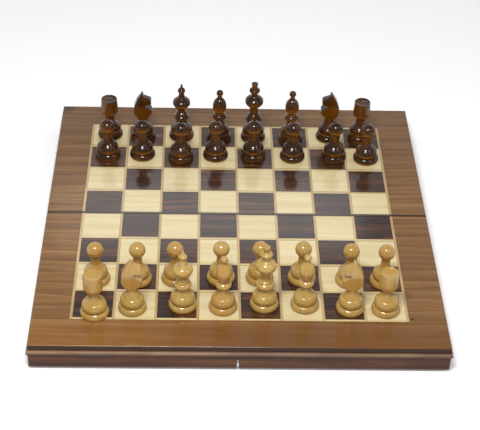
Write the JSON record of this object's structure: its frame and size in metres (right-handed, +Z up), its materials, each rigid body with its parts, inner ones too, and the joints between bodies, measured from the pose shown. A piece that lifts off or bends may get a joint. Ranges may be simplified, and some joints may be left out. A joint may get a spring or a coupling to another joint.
{
  "type": "chess set with board",
  "caption": "Folding wooden chess case with inlaid squares and hinged halves, standing open with its turned and lacquered light and dark chess pieces set up on it.",
  "frame": {"origin": "centre of the bounding box at the height of the surface that the opened board rests on, below the middle of the seam", "axes": "+X along the seam to the right as the light side sees it, +Y from the light side to the dark side, +Z up"},
  "size_m": [0.4032, 0.4018, 0.1037],
  "materials": {
    "border_wood": "stained, satin lacquer",
    "rail_wood": "stained, satin lacquer",
    "light_veneer": "pale veneer, satin lacquer",
    "dark_veneer": "dark veneer, satin lacquer",
    "pale_line": "pale inlay, satin lacquer",
    "light_lacquer": "turned, gloss lacquer",
    "dark_lacquer": "turned, stained, gloss lacquer",
    "hinge_plate": "plated",
    "screw": "plated",
    "pin_steel": "bright",
    "hook_steel": "bright"
  },
  "bodies": {
    "board_back": {"back_panel": "border_wood", "back_light_squares": "light_veneer", "back_dark_squares": "dark_veneer", "back_lines": "pale_line", "back_outer_rail": "rail_wood", "back_left_rail": "rail_wood", "back_right_rail": "rail_wood", "back_seam_rail": "rail_wood", "back_hinge_leaves": "hinge_plate", "back_hinge_screws": "screw", "hinge_pins": "pin_steel", "strike_pin": "pin_steel"},
    "board_front": {"front_panel": "border_wood", "front_light_squares": "light_veneer", "front_dark_squares": "dark_veneer", "front_lines": "pale_line", "front_outer_rail": "rail_wood", "front_left_rail": "rail_wood", "front_right_rail": "rail_wood", "front_seam_rail": "rail_wood", "front_hinge_leaves": "hinge_plate", "front_hinge_screws": "screw", "latch_pin": "pin_steel"},
    "latch": {"latch_hook": "hook_steel"},
    "light_pawn_a": {"light_pawn_a": "light_lacquer"},
    "light_pawn_b": {"light_pawn_b": "light_lacquer"},
    "light_pawn_c": {"light_pawn_c": "light_lacquer"},
    "light_pawn_d": {"light_pawn_d": "light_lacquer"},
    "light_pawn_e": {"light_pawn_e": "light_lacquer"},
    "light_pawn_f": {"light_pawn_f": "light_lacquer"},
    "light_pawn_g": {"light_pawn_g": "light_lacquer"},
    "light_pawn_h": {"light_pawn_h": "light_lacquer"},
    "light_queen": {"light_queen": "light_lacquer"},
    "light_king": {"light_king": "light_lacquer"},
    "light_rook_left": {"light_rook_left": "light_lacquer"},
    "light_bishop_left": {"light_bishop_left": "light_lacquer"},
    "light_knight_left": {"light_knight_base_left": "light_lacquer", "light_knight_head_left": "light_lacquer"},
    "light_rook_right": {"light_rook_right": "light_lacquer"},
    "light_bishop_right": {"light_bishop_right": "light_lacquer"},
    "light_knight_right": {"light_knight_base_right": "light_lacquer", "light_knight_head_right": "light_lacquer"},
    "dark_pawn_a": {"dark_pawn_a": "dark_lacquer"},
    "dark_pawn_b": {"dark_pawn_b": "dark_lacquer"},
    "dark_pawn_c": {"dark_pawn_c": "dark_lacquer"},
    "dark_pawn_d": {"dark_pawn_d": "dark_lacquer"},
    "dark_pawn_e": {"dark_pawn_e": "dark_lacquer"},
    "dark_pawn_f": {"dark_pawn_f": "dark_lacquer"},
    "dark_pawn_g": {"dark_pawn_g": "dark_lacquer"},
    "dark_pawn_h": {"dark_pawn_h": "dark_lacquer"},
    "dark_queen": {"dark_queen": "dark_lacquer"},
    "dark_king": {"dark_king": "dark_lacquer"},
    "dark_rook_left": {"dark_rook_left": "dark_lacquer"},
    "dark_bishop_left": {"dark_bishop_left": "dark_lacquer"},
    "dark_knight_left": {"dark_knight_base_left": "dark_lacquer", "dark_knight_head_left": "dark_lacquer"},
    "dark_rook_right": {"dark_rook_right": "dark_lacquer"},
    "dark_bishop_right": {"dark_bishop_right": "dark_lacquer"},
    "dark_knight_right": {"dark_knight_base_right": "dark_lacquer", "dark_knight_head_right": "dark_lacquer"}
  },
  "joints": [
    {"name": "fold", "type": "hinge", "parent": "board_back", "child": "board_front", "pos_m": [0, 0, 0.0015], "axis": [1, 0, 0], "range_deg": [0, 180]},
    {"name": "latch_swing", "type": "hinge", "parent": "board_front", "child": "latch", "pos_m": [-0.002, -0.1968, 0.00465], "axis": [1, 0, 0], "range_deg": [0, 180]},
    {"name": "light_pawn_a_lift", "type": "slide", "parent": "board_front", "child": "light_pawn_a", "axis": [0, 0, 1], "range_m": [0, 0.09]},
    {"name": "light_pawn_b_lift", "type": "slide", "parent": "board_front", "child": "light_pawn_b", "axis": [0, 0, 1], "range_m": [0, 0.09]},
    {"name": "light_pawn_c_lift", "type": "slide", "parent": "board_front", "child": "light_pawn_c", "axis": [0, 0, 1], "range_m": [0, 0.09]},
    {"name": "light_pawn_d_lift", "type": "slide", "parent": "board_front", "child": "light_pawn_d", "axis": [0, 0, 1], "range_m": [0, 0.09]},
    {"name": "light_pawn_e_lift", "type": "slide", "parent": "board_front", "child": "light_pawn_e", "axis": [0, 0, 1], "range_m": [0, 0.09]},
    {"name": "light_pawn_f_lift", "type": "slide", "parent": "board_front", "child": "light_pawn_f", "axis": [0, 0, 1], "range_m": [0, 0.09]},
    {"name": "light_pawn_g_lift", "type": "slide", "parent": "board_front", "child": "light_pawn_g", "axis": [0, 0, 1], "range_m": [0, 0.09]},
    {"name": "light_pawn_h_lift", "type": "slide", "parent": "board_front", "child": "light_pawn_h", "axis": [0, 0, 1], "range_m": [0, 0.09]},
    {"name": "light_queen_lift", "type": "slide", "parent": "board_front", "child": "light_queen", "axis": [0, 0, 1], "range_m": [0, 0.09]},
    {"name": "light_king_lift", "type": "slide", "parent": "board_front", "child": "light_king", "axis": [0, 0, 1], "range_m": [0, 0.09]},
    {"name": "light_rook_left_lift", "type": "slide", "parent": "board_front", "child": "light_rook_left", "axis": [0, 0, 1], "range_m": [0, 0.09]},
    {"name": "light_bishop_left_lift", "type": "slide", "parent": "board_front", "child": "light_bishop_left", "axis": [0, 0, 1], "range_m": [0, 0.09]},
    {"name": "light_knight_left_lift", "type": "slide", "parent": "board_front", "child": "light_knight_left", "axis": [0, 0, 1], "range_m": [0, 0.09]},
    {"name": "light_rook_right_lift", "type": "slide", "parent": "board_front", "child": "light_rook_right", "axis": [0, 0, 1], "range_m": [0, 0.09]},
    {"name": "light_bishop_right_lift", "type": "slide", "parent": "board_front", "child": "light_bishop_right", "axis": [0, 0, 1], "range_m": [0, 0.09]},
    {"name": "light_knight_right_lift", "type": "slide", "parent": "board_front", "child": "light_knight_right", "axis": [0, 0, 1], "range_m": [0, 0.09]},
    {"name": "dark_pawn_a_lift", "type": "slide", "parent": "board_back", "child": "dark_pawn_a", "axis": [0, 0, 1], "range_m": [0, 0.09]},
    {"name": "dark_pawn_b_lift", "type": "slide", "parent": "board_back", "child": "dark_pawn_b", "axis": [0, 0, 1], "range_m": [0, 0.09]},
    {"name": "dark_pawn_c_lift", "type": "slide", "parent": "board_back", "child": "dark_pawn_c", "axis": [0, 0, 1], "range_m": [0, 0.09]},
    {"name": "dark_pawn_d_lift", "type": "slide", "parent": "board_back", "child": "dark_pawn_d", "axis": [0, 0, 1], "range_m": [0, 0.09]},
    {"name": "dark_pawn_e_lift", "type": "slide", "parent": "board_back", "child": "dark_pawn_e", "axis": [0, 0, 1], "range_m": [0, 0.09]},
    {"name": "dark_pawn_f_lift", "type": "slide", "parent": "board_back", "child": "dark_pawn_f", "axis": [0, 0, 1], "range_m": [0, 0.09]},
    {"name": "dark_pawn_g_lift", "type": "slide", "parent": "board_back", "child": "dark_pawn_g", "axis": [0, 0, 1], "range_m": [0, 0.09]},
    {"name": "dark_pawn_h_lift", "type": "slide", "parent": "board_back", "child": "dark_pawn_h", "axis": [0, 0, 1], "range_m": [0, 0.09]},
    {"name": "dark_queen_lift", "type": "slide", "parent": "board_back", "child": "dark_queen", "axis": [0, 0, 1], "range_m": [0, 0.09]},
    {"name": "dark_king_lift", "type": "slide", "parent": "board_back", "child": "dark_king", "axis": [0, 0, 1], "range_m": [0, 0.09]},
    {"name": "dark_rook_left_lift", "type": "slide", "parent": "board_back", "child": "dark_rook_left", "axis": [0, 0, 1], "range_m": [0, 0.09]},
    {"name": "dark_bishop_left_lift", "type": "slide", "parent": "board_back", "child": "dark_bishop_left", "axis": [0, 0, 1], "range_m": [0, 0.09]},
    {"name": "dark_knight_left_lift", "type": "slide", "parent": "board_back", "child": "dark_knight_left", "axis": [0, 0, 1], "range_m": [0, 0.09]},
    {"name": "dark_rook_right_lift", "type": "slide", "parent": "board_back", "child": "dark_rook_right", "axis": [0, 0, 1], "range_m": [0, 0.09]},
    {"name": "dark_bishop_right_lift", "type": "slide", "parent": "board_back", "child": "dark_bishop_right", "axis": [0, 0, 1], "range_m": [0, 0.09]},
    {"name": "dark_knight_right_lift", "type": "slide", "parent": "board_back", "child": "dark_knight_right", "axis": [0, 0, 1], "range_m": [0, 0.09]}
  ]
}
